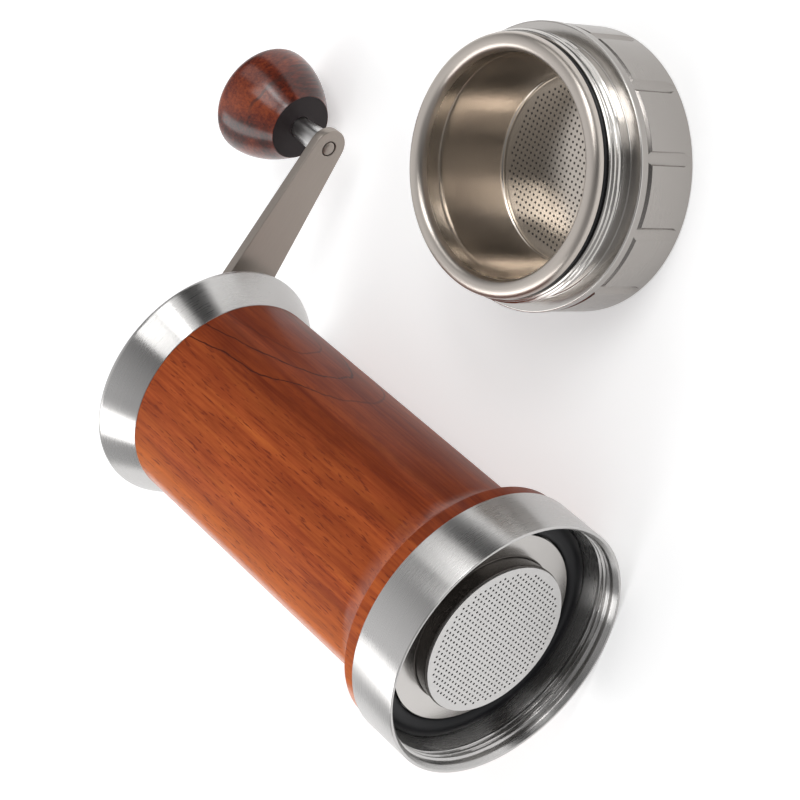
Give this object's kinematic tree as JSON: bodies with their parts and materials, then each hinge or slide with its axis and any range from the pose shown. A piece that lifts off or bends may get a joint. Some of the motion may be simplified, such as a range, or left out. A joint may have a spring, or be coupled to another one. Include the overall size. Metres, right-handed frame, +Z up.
{
  "type": "manual espresso maker",
  "caption": "Hand-cranked screw-press espresso maker with a turned wooden barrel lying on its side, and its fluted steel portafilter with filter basket standing beside it.",
  "frame": {"origin": "centre of the portafilter socket's mouth plane, on the barrel's axis", "axes": "+X along the barrel's axis, out of the mouth; +Z up from the surface that both pieces rest on; +Y to the side that the portafilter stands on"},
  "size_m": [0.1594, 0.1595, 0.0666],
  "materials": {
    "hardwood": "oiled",
    "brushed_steel": "brushed",
    "satin_steel": "satin",
    "polished_steel": "polished",
    "basket_steel": "satin",
    "black_rubber": "satin",
    "bronze": "turned",
    "acetal": "turned",
    "black_plastic": "moulded"
  },
  "bodies": {
    "barrel": {"wood_barrel": "hardwood", "base_ring": "brushed_steel", "cylinder": "satin_steel", "group_head": "satin_steel", "head_seal": "black_rubber", "shower_screen": "satin_steel", "group_gasket": "black_rubber", "top_cap": "brushed_steel", "shaft_bush": "bronze", "thrust_washer_rear": "polished_steel"},
    "bearing": {"thrust_balls": "polished_steel", "ball_cage": "bronze"},
    "crank": {"lead_screw": "satin_steel", "thrust_washer_front": "polished_steel", "hub_spacer": "satin_steel", "crank_arm": "satin_steel", "crank_washer": "polished_steel", "crank_nut": "polished_steel", "knob_spindle": "polished_steel", "knob_snap_ring": "polished_steel"},
    "knob": {"knob": "hardwood", "knob_bush": "black_plastic"},
    "piston": {"plunger": "acetal", "plunger_seals": "black_rubber", "drive_nut": "bronze", "nut_screws": "polished_steel", "guide_keys": "polished_steel"},
    "portafilter": {"portafilter_collar": "brushed_steel", "collar_seal": "black_rubber", "basket_spring": "polished_steel"},
    "basket": {"filter_basket": "basket_steel"}
  },
  "joints": [
    {"name": "crank_turn", "type": "hinge", "parent": "barrel", "child": "crank", "pos_m": [-0.125, 0, 0], "axis": [1, 0, 0], "range_deg": [0, 3420]},
    {"name": "bearing_roll", "type": "hinge", "parent": "barrel", "child": "bearing", "pos_m": [-0.1158, 0, 0], "axis": [1, 0, 0], "range_deg": [0, 1710]},
    {"name": "piston_stroke", "type": "slide", "parent": "barrel", "child": "piston", "axis": [1, 0, 0], "range_m": [0, 0.0381]},
    {"name": "knob_spin", "type": "hinge", "parent": "crank", "child": "knob", "pos_m": [-0.1355, 0.06364, -0.0186], "axis": [1, 0, 0], "continuous": true},
    {"name": "portafilter_lift", "type": "slide", "parent": "barrel", "child": "portafilter", "axis": [0, 0, 1], "range_m": [0, 0.06]},
    {"name": "basket_pull", "type": "slide", "parent": "portafilter", "child": "basket", "axis": [0, 0, 1], "range_m": [0, 0.04]}
  ],
  "couplings": [
    {"joint": "piston_stroke", "follows": "crank_turn", "m_per_rad": 0.00063662},
    {"joint": "bearing_roll", "follows": "crank_turn", "ratio": 0.5}
  ]
}
